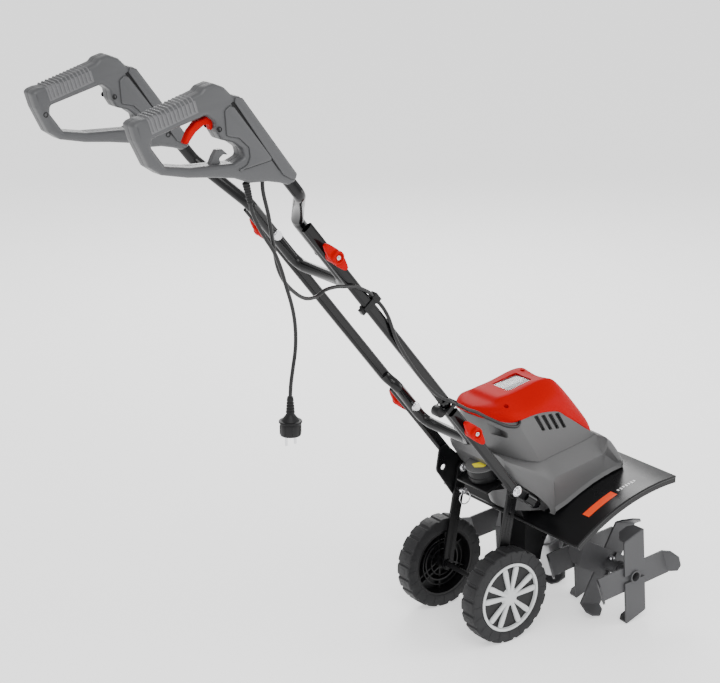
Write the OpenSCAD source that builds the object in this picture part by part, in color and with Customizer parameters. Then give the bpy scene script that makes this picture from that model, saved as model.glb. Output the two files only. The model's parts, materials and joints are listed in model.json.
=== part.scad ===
// Electric garden tiller on two transport wheels, with a folding two-part handle.
// X points forward to the tines, Y to the machine's left, Z up; the ground is z = 0.

/* [Wheels] */
// Outer radius of the transport wheels
wheel_r = 100; // [96:1:101]
// Distance from the middle plane to the middle of each tyre
wheel_y = 106; // [106:1:110]
// Width of a tyre
tyre_w = 38; // [30:1:38]

/* [Tines] */
// Distance from the shaft's axis to the bend of each blade
blade_r = 93.5; // [85:0.5:93.5]
// Width of a blade
blade_w = 56; // [40:1:56]
// Length of the bent end of a blade
tip_len = 33; // [20:1:34]
// Distance from the middle plane to the outer star
star_outer_y = 205; // [205:1:207]
// Distance between neighbouring stars on one side
star_pitch = 77; // [70:1:77]

/* [Handle] */
// Distance from the middle plane to the middle of each D handle
grip_y = 172; // [168:1:176]
// Thickness of a D handle
grip_w = 40; // [36:1:44]
// Outer radius of the round tubes
tube_r = 11; // [10:0.5:11]
// Height of the flat tubes
flat_h = 23; // [22:1:26]

/* [Guard] */
// Half width of the guard over the tines
guard_y = 215; // [200:1:220]
// Thickness of the guard
guard_t = 4; // [3:0.5:4]

/* [Cord] */
// Diameter of the mains cord and of the motor lead
cord_d = 7; // [5:0.5:8]

/* [Hidden] */
$fn = 48;

// Side-view places, [x, z]
axle = [245, wheel_r];
arm_pivot = [282, 312];
shaft = [513, 104.5];
lower_joint = [145.8, 478.2];
upper_joint = [-184.8, 887.4];
frame_bolt = [275.6, 317.6];
drum = [270, 352];

// Slope of the handle tubes and of the legs below the lower joint
tube_angle = atan2(upper_joint[1] - lower_joint[1], lower_joint[0] - upper_joint[0]);
arm_lean = atan2(arm_pivot[0] - axle[0], arm_pivot[1] - axle[1]);
arm_len = norm(arm_pivot - axle);
joint_gap = norm(upper_joint - lower_joint);
leg_len = norm(frame_bolt - lower_joint);

// Sideways places of the nested tubes: round inner legs and flat outer legs
inner_y = 77.5;
flat_y = 95;
flat_t = 12;
tube_wall = 1.5;
bolt_r = 4;
bolt_hole_r = 4.06;

// Guard: an arc in side view, from its rear edge to its front edge
guard_c = [611.2, -151.6];
guard_r = 458.5;
guard_start = 89.65;
guard_end = 126.1;

// Motor: the worm's middle, and the backward tilt of the motor
worm_gap = 48;
motor_tilt = 18;
worm_place = [shaft[0] - worm_gap * cos(motor_tilt), shaft[1] - worm_gap * sin(motor_tilt)];
worm_r = 13;
case_half = 30;
neck_top = 196;

dark = [0.09, 0.09, 0.10];
grey = [0.36, 0.36, 0.37];
red = [0.80, 0.08, 0.05];
steel = [0.70, 0.70, 0.72];

// ---------- shared shapes ----------

module at(p) translate([p[0], 0, p[1]]) children();

// Turns a side view drawn in x and y into x and z, centred on the middle plane
module side(w) rotate([90, 0, 0]) linear_extrude(w, center = true) children();

// A cylinder along Y
module across(r, w) rotate([90, 0, 0]) cylinder(r = r, h = w, center = true);

module ring_across(r, hole, w) difference() {
    across(r, w);
    across(hole, w + 2);
}

module both_sides() {
    children();
    mirror([0, 1, 0]) children();
}

// +X of the children runs up the tube, Y stays Y and +Z points to its rear side
module along_tube(p, angle) at(p) rotate([0, angle - 180, 0]) children();

module stadium(w, h) {
    square([w, h - w], center = true);
    for (s = [-1, 1]) translate([0, s * (h - w) / 2]) circle(d = w);
}

// A flat oval tube from x = a to x = b
module flat_tube(a, b) translate([a, 0, 0]) rotate([90, 0, 90]) difference() {
    linear_extrude(b - a) stadium(flat_t, flat_h);
    translate([0, 0, -1]) linear_extrude(b - a + 2)
        stadium(flat_t - 2 * tube_wall, flat_h - 2 * tube_wall);
}

function heading(a, b) = atan2(b[1] - a[1], b[0] - a[0]);
function turn(p, i) = let (t = heading(p[i], p[i + 1]) - heading(p[i - 1], p[i]))
    t > 180 ? t - 360 : t < -180 ? t + 360 : t;
function trim(p, i, rb) = i == 0 || i == len(p) - 1 ? 0 : rb * tan(abs(turn(p, i)) / 2);

// A round tube along the points p in the XY plane, with bends of radius rb. A bend is a
// little thicker than the straight runs, which reach into its wall.
skin = 0.06;
bite = 0.8;
module pipe(r, wall) difference() {
    circle(r = r);
    circle(r = r - wall);
}
module bent_tube(p, rb, r) {
    last = len(p) - 1;
    for (i = [0 : last - 1]) {
        from = i == 0 ? 0 : trim(p, i, rb) - bite;
        to = norm(p[i + 1] - p[i]) - (i + 1 == last ? 0 : trim(p, i + 1, rb) - bite);
        translate([p[i][0], p[i][1], 0]) rotate([0, 90, heading(p[i], p[i + 1])])
            translate([0, 0, from]) linear_extrude(to - from) pipe(r, tube_wall);
    }
    for (i = [1 : last - 1]) {
        h0 = heading(p[i - 1], p[i]);
        t = turn(p, i);
        s = sign(t);
        u = [cos(h0), sin(h0)];
        c = p[i] - trim(p, i, rb) * u + rb * s * [-u[1], u[0]];
        translate([c[0], c[1], 0]) rotate([0, 0, s > 0 ? h0 - 90 : h0 + t + 90])
            rotate_extrude(angle = abs(t)) translate([rb, 0])
                pipe(r + skin, tube_wall + 2 * skin);
    }
}

// A bar with round ends, drawn in x and y between two points
module link(a, b, r) {
    translate(a) circle(r);
    translate(b) circle(r);
    translate(a) rotate(heading(a, b)) translate([0, -r]) square([norm(b - a), 2 * r]);
}

// Points round a corner of an outline, from one direction to another
function corner(c, r, a0, a1) = [for (i = [0 : 8])
    c + r * [cos(a0 + (a1 - a0) * i / 8), sin(a0 + (a1 - a0) * i / 8)]];

module motor_axis() at(worm_place) rotate([0, -motor_tilt, 0]) children();

// The children scaled about a point inside them, taken out of themselves
module hollow(c, k) difference() {
    children();
    translate([c[0], 0, c[1]]) scale(k) translate([-c[0], 0, -c[1]]) children();
}

// A round sweep along points: a ring of sides at each point, square to the route
function unit(v) = v / norm(v);
function tangent(p, i) = unit(p[min(i + 1, len(p) - 1)] - p[max(i - 1, 0)]);
function bezier(a, b, c, d, t) = ((2 * b) + (c - a) * t + (2 * a - 5 * b + 4 * c - d) * t * t
    + (3 * b - a - 3 * c + d) * t * t * t) / 2;
function smooth_route(p, n) = [for (i = [0 : len(p) - 2], k = [0 : n - 1])
    bezier(p[max(i - 1, 0)], p[i], p[i + 1], p[min(i + 2, len(p) - 1)], k / n),
    p[len(p) - 1]];
module sweep(p, r, sides = 8) {
    rings = [for (i = [0 : len(p) - 1]) let (t = tangent(p, i),
        side_v = unit(cross(t, abs(t[1]) > 0.9 ? [1, 0, 0] : [0, 1, 0])), up = cross(side_v, t))
        for (k = [0 : sides - 1]) p[i] + r * (cos(360 * k / sides) * side_v
            + sin(360 * k / sides) * up)];
    last = (len(p) - 1) * sides;
    polyhedron(rings, concat(
        [[for (k = [sides - 1 : -1 : 0]) k]],
        [[for (k = [0 : sides - 1]) last + k]],
        [for (i = [0 : len(p) - 2], k = [0 : sides - 1])
            [i * sides + k, i * sides + (k + 1) % sides,
                (i + 1) * sides + (k + 1) % sides, (i + 1) * sides + k]]));
}

// ---------- frame ----------

// Flat legs down from the lower joints, and a round U under the housing
leg_top = 55;
u_reach = 111;
u_slope = 35.8;
u_start = 33;
module lower_frame() color(dark) difference() {
    union() {
        both_sides() translate([0, -flat_y, 0]) {
            along_tube(lower_joint, tube_angle) flat_tube(-leg_len - 6, leg_top);
            at(frame_bolt) rotate([0, u_slope, 0]) translate([-12, 0, 0])
                rotate([90, 0, 90]) linear_extrude(u_start + 14) stadium(flat_t - 0.4, 26);
        }
        at(frame_bolt) rotate([0, u_slope, 0]) bent_tube([[u_start, -flat_y],
            [70, -flat_y], [u_reach, -flat_y + 41], [u_reach, flat_y - 41], [70, flat_y],
            [u_start, flat_y]], 26, tube_r);
    }
    at(lower_joint) across(bolt_hole_r, 240);
    at(frame_bolt) across(bolt_hole_r, 240);
    at(arm_pivot) across(bolt_hole_r, 240);
}

plate_t = 4.4;
plate_y = flat_y - flat_t / 2 - plate_t / 2 - 0.1;
lock_reach = 48;
lock_hole = arm_pivot + lock_reach * [-sin(arm_lean), -cos(arm_lean)];
raised_hole = arm_pivot + lock_reach * [-cos(arm_lean), sin(arm_lean)];
// A spacer disc on the right; on the left a plate whose two holes take the lock pin
module right_side_plate() color(dark) translate([0, -plate_y, 0]) difference() {
    at(arm_pivot) across(16, plate_t);
    at(arm_pivot) across(bolt_hole_r, 20);
}
module left_side_plate() color(dark) translate([0, plate_y, 0]) difference() {
    side(plate_t) polygon(concat(corner(arm_pivot, 17, -10, 70),
        corner(raised_hole + [4, 32], 16, 70, 170), corner(raised_hole, 17, 170, 225),
        corner(lock_hole, 17, 225, 350)));
    at(arm_pivot) across(bolt_hole_r, 20);
    at(lock_hole) across(6.2, 20);
    at(raised_hole) across(6.2, 20);
}

module guard_arc(r0, r1, w, a0 = guard_start, a1 = guard_end) at(guard_c)
    rotate([90, 0, 0]) rotate([0, 0, a0]) rotate_extrude(angle = a1 - a0, $fn = 180)
        translate([r0, -w / 2]) square([r1 - r0, w]);

rear_edge = guard_c + (guard_r - 4) * [cos(guard_end), sin(guard_end)];
saddle_y = 48;
saddle = [[240, 306], [308, 328], [318, 298.5], [363, 234], [355, 226], [345, 221],
    [312.5, 291.5], [303, 322], [242, 300.5]];
module guard() color(dark) difference() {
    union() {
        guard_arc(guard_r - guard_t, guard_r, 2 * guard_y);
        both_sides() translate([0, guard_y - 2, 0]) guard_arc(guard_r - 16, guard_r, 4);
        guard_arc(guard_r - 16, guard_r, 2 * guard_y, guard_start, guard_start + 0.5);
        at(rear_edge) across(4.6, 2 * guard_y - 1);
        side(2 * saddle_y) polygon(saddle);
    }
    motor_axis() cylinder(r = 30, h = 300);
}

// ---------- housing and motor ----------

body_y = 77;
skirt_y = 110;
body_side = [[229, 470], [213, 452], [221, 430], [245, 404], [279, 372], [302, 300],
    [317, 262], [537, 300], [517, 376], [458, 430], [417, 470], [361, 488]];
skirt_side = [[275, 356], [309, 362], [417, 378], [469, 386], [501, 392], [529, 376],
    [565, 330], [569, 306], [557, 285], [487, 240], [317, 225], [303, 290]];
// Where the cover meets the housing, from the rear to the front
parting = [[180, 486], [229, 466], [279, 464], [333, 466], [398, 457], [458, 417],
    [503, 387], [560, 350]];
module above_parting(gap) translate([0, 0, -gap]) side(300)
    polygon(concat(parting, [[560, 600], [180, 600]]));
// Room around the frame's flat legs and its round U
module leg_clearance() {
    at(frame_bolt) rotate([0, u_slope, 0]) {
        both_sides() translate([-30, -flat_y, 0]) rotate([0, 90, 0])
            cylinder(r = 15.5, h = u_reach + 45);
        translate([u_reach, 0, 0]) across(tube_r + 1.5, 2 * flat_y);
    }
    both_sides() along_tube(lower_joint, tube_angle)
        translate([-leg_len - 22, -flat_y - 12, -16]) cube([90, 26, 32]);
}
lead_entry = [296, 461];
module lead_hole() at(lead_entry) translate([0, -80, 0]) across(6, 24);
module housing_form() {
    side(2 * body_y) polygon(body_side);
    side(2 * skirt_y) polygon(skirt_side);
}
vent_x = 389;
module housing() color(grey) difference() {
    hollow([407, 350], 0.955) housing_form();
    at(guard_c) across(guard_r + 0.3, 300);
    above_parting(0.1);
    drum_axis() translate([0, 0, -drum_h - 2]) cylinder(r = drum_r + 2.5, h = drum_h + 20);
    leg_clearance();
    both_sides() at(arm_pivot) translate([0, -arm_y - 3.4, 0]) across(17.6, 13.8);
    side(2 * saddle_y + 1) polygon(saddle);
    lead_hole();
    for (i = [0 : 3]) translate([vent_x + 20 * i, 0, 440 - 2 * i]) rotate([0, 18, 0])
        cube([6, 200, 34], center = true);
    both_sides() translate([0, -skirt_y, 0]) at([379, 250]) across(20, 60);
}

cover_side = [[220, 486], [229, 468], [279, 464], [333, 468], [398, 458], [458, 418],
    [503, 388], [517, 380], [514, 390], [474, 438], [425, 494], [393, 526], [369, 534],
    [352, 534], [317, 520], [253, 506]];
module cover_form() difference() {
    side(166) polygon(cover_side);
    for (s = [-1, 1]) translate([317, s * 92, 544]) rotate([s * 40, 0, 0])
        cube([420, 60, 40], center = true);
}
window_place = [313, 508];
window_tilt = -16;
module window_cut(l, w, h) at(window_place) rotate([0, window_tilt, 0])
    cube([l, w, h], center = true);
screw_spots = [[255, -48], [255, 48], [409, 0]];
module top_cover() color(red) difference() {
    hollow([367, 476], 0.93) cover_form();
    side(158) polygon([[207, 440], [279, 440], [497, 380], [493, 391], [458, 422], [398, 462],
        [333, 472], [279, 468], [229, 472]]);
    lead_hole();
    window_cut(72, 56, 60);
}
module window() color([0.6, 0.65, 0.68, 0.5]) at(window_place) rotate([0, window_tilt, 0])
    translate([0, 0, 2]) cube([71.4, 55.4, 3], center = true);

// Radius that the turning tines keep inside
sweep_r = 112;
module gear_bracket() color(dark) intersection() {
    union() {
        translate([357, -40, 112]) cube([4, 80, 180]);
        both_sides() translate([361, 36, 0]) rotate([90, 0, 0]) translate([0, 0, -4])
            linear_extrude(4) polygon([[0, 112], [40, 112], [86, 150], [86, 290], [0, 290]]);
    }
    difference() {
        at(guard_c) across(guard_r - guard_t - 0.2, 100);
        at(frame_bolt) rotate([0, u_slope, 0]) translate([u_reach, 0, 0])
            across(tube_r + 0.2, 160);
        at(shaft) across(sweep_r, 100);
    }
}

module case_form() difference() {
    union() {
        at(shaft) across(44, 2 * case_half);
        motor_axis() translate([0, 0, -36]) cylinder(r = 25, h = 80);
        motor_axis() cylinder(r = 18, h = neck_top);
        motor_axis() translate([0, 0, neck_top - 10]) cylinder(r = 29, h = 10);
    }
    at(shaft) across(38, 36);
    at(shaft) across(17.02, 2 * case_half - 4);
    at(shaft) across(11, 2 * case_half + 2);
    motor_axis() {
        translate([0, 0, -30]) cylinder(r = 15, h = 68);
        translate([0, 0, 28]) cylinder(r = 14.02, h = 12);
        translate([0, 0, 39]) cylinder(r = 10, h = neck_top);
    }
}
module gear_case() color("silver") intersection() {
    case_form();
    translate([310, 0.05, 0]) cube([310, 100, 400]);
}
module gear_case_cover() color("silver") intersection() {
    case_form();
    translate([310, -100.05, 0]) cube([310, 100, 400]);
}

// Round capacitor box behind the housing, tilted like the motor
drum_r = 37;
drum_h = 34;
module drum_axis() at(drum) rotate([0, -motor_tilt, 0]) children();
module capacitor_case() color(dark) drum_axis() translate([0, 0, -drum_h]) difference() {
    cylinder(r = drum_r, h = drum_h - 4);
    translate([0, 0, 3]) cylinder(r = drum_r - 3, h = drum_h);
}
module capacitor_cap() color(grey) drum_axis() {
    translate([0, 0, -4]) cylinder(r = drum_r + 1, h = 3);
    translate([0, 0, -1]) cylinder(r = drum_r - 4, h = 1);
}

// Motor parts, by height above the worm along the motor's axis
fan_z = 206;
core_z = 236;
core_h = 72;
commutator_z = 320;
bearing_z = [29, 342];
module stator() color(steel) motor_axis() {
    difference() {
        translate([0, 0, core_z]) cylinder(r = 46, h = core_h);
        translate([0, 0, core_z - 1]) cylinder(r = 27, h = core_h + 2);
    }
    for (a = [45 : 90 : 315]) rotate([0, 0, a]) translate([40, 0, core_z - 38])
        cylinder(r = 3, h = 38);
    for (s = [-1, 1]) translate([0, s * 36, core_z + core_h]) cylinder(r = 3, h = 36);
    difference() {
        translate([-9, -40, core_z + core_h + 34]) cube([18, 80, 10]);
        translate([0, 0, core_z + core_h]) cylinder(r = 14.05, h = 60);
    }
    translate([0, 0, core_z + core_h + 34]) difference() {
        cylinder(r = 19, h = 10);
        translate([0, 0, -1]) cylinder(r = 14.05, h = 12);
    }
}
module motor_bearings() color(steel) motor_axis() for (z = bearing_z) translate([0, 0, z])
    difference() {
        cylinder(r = 14, h = 10);
        translate([0, 0, -1]) cylinder(r = 6.06, h = 12);
    }
module shaft_bearings() color(steel) both_sides() at(shaft) translate([0, 23, 0])
    ring_across(17, 10.02, 9.6);

module motor_shaft() color(steel) motor_axis() {
    translate([0, 0, -24]) cylinder(r = 6, h = 378);
    translate([0, 0, -20]) cylinder(r = 10.5, h = 40);
    for (i = [-4 : 4]) translate([0, 0, 4 * i - 1]) cylinder(r = worm_r - 0.4, h = 2);
}
module armature() color([0.55, 0.35, 0.2]) motor_axis() {
    difference() {
        translate([0, 0, core_z - 4]) cylinder(r = 26, h = core_h + 8);
        translate([0, 0, core_z - 5]) cylinder(r = 6.02, h = core_h + 10);
    }
    translate([0, 0, commutator_z]) difference() {
        cylinder(r = 15, h = 15);
        translate([0, 0, -1]) cylinder(r = 6.02, h = 17);
    }
}
module cooling_fan() color(dark) motor_axis() translate([0, 0, fan_z]) difference() {
    union() {
        cylinder(r = 33, h = 3);
        cylinder(r = 10, h = 20);
        for (a = [0 : 40 : 320]) rotate([0, 0, a]) translate([9, -1, 2]) cube([23, 2, 14]);
    }
    translate([0, 0, -1]) cylinder(r = 6.02, h = 30);
}

// ---------- tines ----------

teeth = 40;
wheel_tip = worm_gap - worm_r - 0.2;
module worm_wheel() color([0.75, 0.6, 0.3]) at(shaft) difference() {
    union() {
        across(wheel_tip - 2, 20);
        for (i = [0 : teeth - 1]) rotate([0, i * 360 / teeth, 0])
            translate([wheel_tip - 2.6, -10, -0.9]) cube([2.6, 20, 1.8]);
    }
    across(9.97, 30);
}

shaft_half = 150;
// Cross pins that hold the hubs on the shaft, by distance from the middle plane
pin_places = [66, 138];
module tine_shaft() color(steel) at(shaft) difference() {
    across(9.95, 2 * shaft_half);
    both_sides() for (y = pin_places) translate([0, -y, 0])
        cylinder(r = 3.05, h = 40, center = true);
}

// One blade along +X: flat to a slanted fold, then a bent end with clipped corners
fold_skew = 14;
blade_t = 4;
module blade(bend) {
    half = blade_w / 2;
    rise = half * tan(fold_skew);
    rotate([90, 0, 0]) linear_extrude(blade_t, center = true)
        polygon([[8, -half], [blade_r + rise, -half], [blade_r - rise, half], [8, half]]);
    translate([blade_r, 0, 0]) rotate([0, -fold_skew, 0]) rotate([0, 0, bend])
        translate([-1.4, 0, 0]) rotate([90, 0, 0]) linear_extrude(blade_t, center = true)
            polygon([[0, -half + 1], [tip_len - 9, -half + 3], [tip_len, -12], [tip_len, 10],
                [tip_len - 16, half - 2], [0, half - 1]]);
}

// Two crossed strips: one with its ends bent outwards, one with its ends bent in
out_bend = -59;
in_bend = 86;
hub_r = 13.5;
module star(y, a) at(shaft) translate([0, -y, 0]) rotate([0, -a, 0]) {
    for (k = [0, 180]) rotate([0, k, 0]) translate([0, 2, 0]) blade(out_bend);
    for (k = [-90, 90]) rotate([0, k, 0]) translate([0, -2, 0]) blade(in_bend);
}
module hub(y0, y1) at(shaft) translate([0, -(y0 + y1) / 2, 0]) across(hub_r, y1 - y0);
module hub_bore() {
    at(shaft) across(10, 600);
    at(shaft) for (y = pin_places) translate([0, -y, 0]) cylinder(r = 3.05, h = 60, center = true);
}

star_mid_y = star_outer_y - star_pitch;
star_in_y = star_outer_y - 2 * star_pitch;
split_y = 158;
star_lean = 5;
mid_lean = 60;
module inner_tines() color([0.2, 0.2, 0.21]) difference() {
    union() {
        star(star_in_y, star_lean);
        star(star_mid_y, mid_lean);
        hub(34, split_y);
    }
    hub_bore();
}
module outer_tines() color([0.2, 0.2, 0.21]) difference() {
    union() {
        star(star_outer_y, star_lean);
        hub(split_y + 0.1, star_outer_y + 7);
        at(shaft) translate([0, -split_y - 6, 0]) across(18, 8);
    }
    hub_bore();
}
module right_inner_tines() inner_tines();
module right_outer_tines() outer_tines();
module left_inner_tines() mirror([0, 1, 0]) inner_tines();
module left_outer_tines() mirror([0, 1, 0]) outer_tines();
module tine_pins() color(steel) both_sides() at(shaft) for (y = pin_places)
    translate([0, -y, 0]) {
        cylinder(r = 3, h = 36, center = true);
        translate([0, 0, 15]) cylinder(r = 6, h = 4);
    }

// ---------- wheels ----------

arm_y = 80.8;
arm_t = 6;
arm_w = 26;
module arm() color(dark) translate([0, -arm_y, 0]) difference() {
    side(arm_t) link(arm_pivot, axle, arm_w / 2);
    at(arm_pivot) across(bolt_hole_r, 20);
    at(lock_hole) across(4.3, 20);
    at(axle) across(6.02, 20);
}
module right_arm() arm();
module left_arm() mirror([0, 1, 0]) arm();
axle_end = wheel_y + 14.6;
module wheel_axle() color(steel) at(axle) {
    across(6, 2 * axle_end);
    both_sides() translate([0, -arm_y + arm_t / 2 + 2, 0]) ring_across(10, 5.9, 3.8);
}

pin_len = 27;
module lock_pin() color(steel) difference() {
    at(lock_hole) translate([0, arm_y + arm_t / 2 - 0.3 - pin_len / 2, 0]) {
        across(4.2, pin_len);
        translate([0, -3.5, 0]) across(7.5, 10);
    }
    pin_ring(1.6);
}
ring_r = 14;
module pin_ring(r) at(lock_hole) translate([0, arm_y + arm_t / 2 - pin_len + 3, -ring_r])
    rotate([90, 0, 0]) rotate_extrude() translate([ring_r, 0]) circle(r = r, $fn = 16);
module pull_ring() color(steel) pin_ring(1.3);

module wheel_place() at(axle) translate([0, -wheel_y, 0]) children();
rim_r = 74;
blocks = 20;
module tyre() color([0.12, 0.12, 0.13]) wheel_place() difference() {
    union() {
        across(wheel_r - 3, tyre_w);
        for (i = [0 : blocks - 1]) rotate([0, i * 360 / blocks, 0])
            translate([0, 0, wheel_r - 7]) translate([-9.5, -tyre_w / 2 + 3, 0])
                cube([19, tyre_w - 6, 6.6]);
    }
    across(rim_r, tyre_w + 2);
}
module wheel() color([0.12, 0.12, 0.13]) wheel_place() difference() {
    union() {
        difference() {
            across(rim_r - 0.1, tyre_w - 2);
            translate([0, 10, 0]) across(rim_r - 5, tyre_w - 2);
        }
        across(14, tyre_w - 8);
        for (a = [30 : 120 : 270], s = [-1, 1]) rotate([0, a, 0])
            translate([0, -tyre_w / 2 + 10, s * 7 - 1.5]) cube([rim_r - 4, 17, 3]);
        for (a = [90 : 120 : 330]) rotate([0, a, 0]) translate([2, -tyre_w / 2 + 10, -2])
            cube([rim_r - 6, 10, 4]);
        translate([0, 1, 0]) ring_across(44, 41, 14);
    }
    translate([0, 4, 0]) across(6.06, tyre_w);
    translate([0, -tyre_w / 2, 0]) across(rim_r - 3.9, 8);
}
module hubcap() color([0.78, 0.8, 0.8]) wheel_place() translate([0, -tyre_w / 2, 0]) {
    translate([0, 1.6, 0]) across(rim_r - 4, 3);
    translate([0, -0.7, 0]) ring_across(rim_r - 4.3, rim_r - 8, 2.2);
    translate([0, -1.2, 0]) across(15, 3);
    for (i = [0 : 4], s = [-1, 1]) rotate([0, 72 * i + s * 15, 0]) translate([12, -2, -3])
        cube([rim_r - 18, 3, 6]);
}
module right_tyre() tyre();
module right_wheel() wheel();
module right_hubcap() hubcap();
module left_tyre() mirror([0, 1, 0]) tyre();
module left_wheel() mirror([0, 1, 0]) wheel();
module left_hubcap() mirror([0, 1, 0]) hubcap();

// ---------- handle tubes ----------

flat_top = joint_gap + 72;
joggle = [66, 86];
u_below = 50;
module middle_frame() color(dark) difference() {
    along_tube(lower_joint, tube_angle) {
        bent_tube([[joggle[1] + 10, -flat_y], [joggle[1], -flat_y], [joggle[0], -inner_y],
            [-u_below, -inner_y], [-u_below, inner_y], [joggle[0], inner_y],
            [joggle[1], flat_y], [joggle[1] + 10, flat_y]], 24, tube_r);
        both_sides() translate([0, flat_y, 0]) flat_tube(joggle[1] + 10, flat_top);
        both_sides() translate([joggle[1] + 9, flat_y, 0]) rotate([0, 90, 0])
            linear_extrude(2) pipe(tube_r, 5.5);
    }
    at(lower_joint) across(bolt_hole_r + 0.02, 240);
    at(upper_joint) across(bolt_hole_r, 240);
}

sweep_in = 86;
sweep_out = 180;
upper_top = 374;
upper_u_below = 85;
module upper_frame() color(dark) difference() {
    along_tube(upper_joint, tube_angle) bent_tube([[upper_top, -grip_y], [sweep_out, -grip_y],
        [sweep_in, -inner_y], [-upper_u_below, -inner_y], [-upper_u_below, inner_y],
        [sweep_in, inner_y], [sweep_out, grip_y], [upper_top, grip_y]], 24, tube_r);
    at(upper_joint) across(bolt_hole_r + 0.02, 240);
}

// Knob bolts run out through both tubes; their heads are on the inner side
module knob_bolt() color(steel) {
    translate([0, -97, 0]) across(bolt_r, 64);
    translate([0, -inner_y + tube_r + 2.7, 0]) across(8, 5);
}
module lower_knob_bolts() both_sides() at(lower_joint) knob_bolt();
module upper_knob_bolts() both_sides() at(upper_joint) knob_bolt();

// A wing nut: a round hub with two tapering wings
knob_y = 119;
module knob(p) color(red) at(p) translate([0, -knob_y, 0]) rotate([0, tube_angle, 0]) difference() {
    union() {
        translate([0, 2, 0]) across(12, 27.6);
        rotate([90, 0, 0]) linear_extrude(12, center = true) for (s = [0, 180]) rotate(s)
            polygon([[0, -11], [14, -10], [33, -4], [36, 0], [34, 6], [16, 11], [0, 11]]);
    }
    across(4.07, 40);
}
module right_lower_knob() knob(lower_joint);
module left_lower_knob() mirror([0, 1, 0]) knob(lower_joint);
module right_upper_knob() knob(upper_joint);
module left_upper_knob() mirror([0, 1, 0]) knob(upper_joint);

module cap_bolt(w) {
    across(bolt_r, w);
    translate([0, -w / 2, 0]) across(8.5, 6);
}
module frame_bolts() color(steel) both_sides() {
    at(frame_bolt) translate([0, -flat_y - 2.1, 0]) cap_bolt(15.8);
    at(arm_pivot) {
        translate([0, -plate_y + 2, 0]) across(bolt_r, 17);
        translate([0, -arm_y + arm_t / 2 + 3, 0]) across(8.5, 5);
    }
}
module cover_screws() color(steel) for (p = screw_spots) translate([p[0], p[1], 480])
    cylinder(r = 3, h = 14);

// Clips that hold the motor lead: one on the flat tube, one round the sideways bend
clip_place = 383;
bend_clip = [76, -86];
lead_r = cord_d / 2;
module cable_clips() color(dark) along_tube(lower_joint, tube_angle) {
    translate([clip_place, -flat_y, 0]) difference() {
        union() {
            translate([-6, -8.5, -14]) cube([12, 17, 28]);
            translate([-9, -9, -25]) cube([18, 16, 13]);
            translate([-6, -5, 12]) cube([12, 10, 9]);
        }
        cube([40, flat_t + 0.3, flat_h + 0.3], center = true);
        translate([-20, -2, -18]) rotate([0, 90, 0]) cylinder(r = lead_r + 0.1, h = 40);
    }
    translate([bend_clip[0], bend_clip[1], 0]) difference() {
        union() {
            translate([-4, -23, -15]) cube([8, 38, 30]);
            translate([2, 0, 19]) across(11, 20);
        }
        rotate([0, 90, -41]) cylinder(r = tube_r + 1.5, h = 60, center = true);
        translate([-20, -18, -9]) rotate([0, 90, 0]) cylinder(r = lead_r + 0.1, h = 40);
    }
}

// ---------- D handles ----------

d_outline = [[-629, 1189], [-623, 1194], [-613, 1197], [-601, 1198], [-502, 1229],
    [-495, 1236], [-475, 1241], [-456, 1233], [-442, 1219], [-425, 1214], [-417, 1206],
    [-312, 1067], [-320, 1055], [-331, 1052], [-348, 1058], [-374, 1064], [-408, 1066],
    [-438, 1078], [-480, 1085], [-528, 1091], [-577, 1102], [-599, 1117], [-621, 1162]];
d_opening = [[-594, 1164], [-491, 1190], [-475, 1178], [-472, 1160], [-463, 1146],
    [-441, 1139], [-423, 1126], [-419, 1112], [-440, 1104], [-523, 1108], [-571, 1117],
    [-595, 1150]];
hook_shape = [[-482, 1100], [-473, 1118], [-466, 1128], [-455, 1128], [-443, 1117],
    [-453, 1119], [-461, 1113], [-457, 1100]];
box_cavity = [[-461, 1128], [-423, 1138], [-407, 1126], [-349, 1066], [-339, 1062],
    [-333, 1068], [-403, 1172], [-433, 1192], [-449, 1178]];
module d_solid() difference() {
    polygon(d_outline);
    polygon(d_opening);
}
module shell_half(y, w) translate([0, y, 0]) side(w) children();
module handle_half(s, hook) color([0.33, 0.33, 0.34]) difference() {
    union() {
        shell_half(-grip_y - s * (grip_w / 4 + 0.05), grip_w / 2 - 0.1) d_solid();
        if (hook) shell_half(-grip_y - s * 3.05, 6) polygon(hook_shape);
    }
    shell_half(-grip_y, grip_w - 8) polygon(box_cavity);
    along_tube(upper_joint, tube_angle) translate([150, -grip_y, 0]) rotate([0, 90, 0])
        cylinder(r = tube_r + 0.15, h = upper_top - 148);
    shell_half(-grip_y, 17) polygon([[-503, 1170], [-486, 1156], [-465, 1158], [-457, 1190],
        [-461, 1214], [-483, 1206], [-507, 1196]]);
}
module right_handle_outer() handle_half(1, true);
module right_handle_inner() {
    difference() {
        handle_half(-1, true);
        at(button_place) translate([0, -grip_y + 20, 0]) across(7.1, 40);
    }
    color([0.33, 0.33, 0.34]) at(trigger_pivot) translate([0, -grip_y + 0.5, 0])
        across(1.95, 18);
}
module left_handle_outer() mirror([0, 1, 0]) handle_half(1, false);
module left_handle_inner() mirror([0, 1, 0]) handle_half(-1, false);

// Ribbed pad let into the top of each grip
grip_ends = [[-595, 1203], [-513, 1229]];
ribs = 12;
module grip_pad() color([0.25, 0.25, 0.26]) translate([0, -grip_y, 0]) {
    tilt = heading(grip_ends[0], grip_ends[1]);
    at(grip_ends[0]) rotate([0, -tilt, 0]) translate([0, 0, -0.9]) {
        translate([0, -15, 0]) cube([norm(grip_ends[1] - grip_ends[0]), 30, 3]);
        for (i = [0 : ribs - 1]) translate([3 + 6.9 * i, -14, 2.9]) cube([3.4, 28, 1.4]);
    }
}
module right_grip() grip_pad();
module left_grip() mirror([0, 1, 0]) grip_pad();

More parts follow.
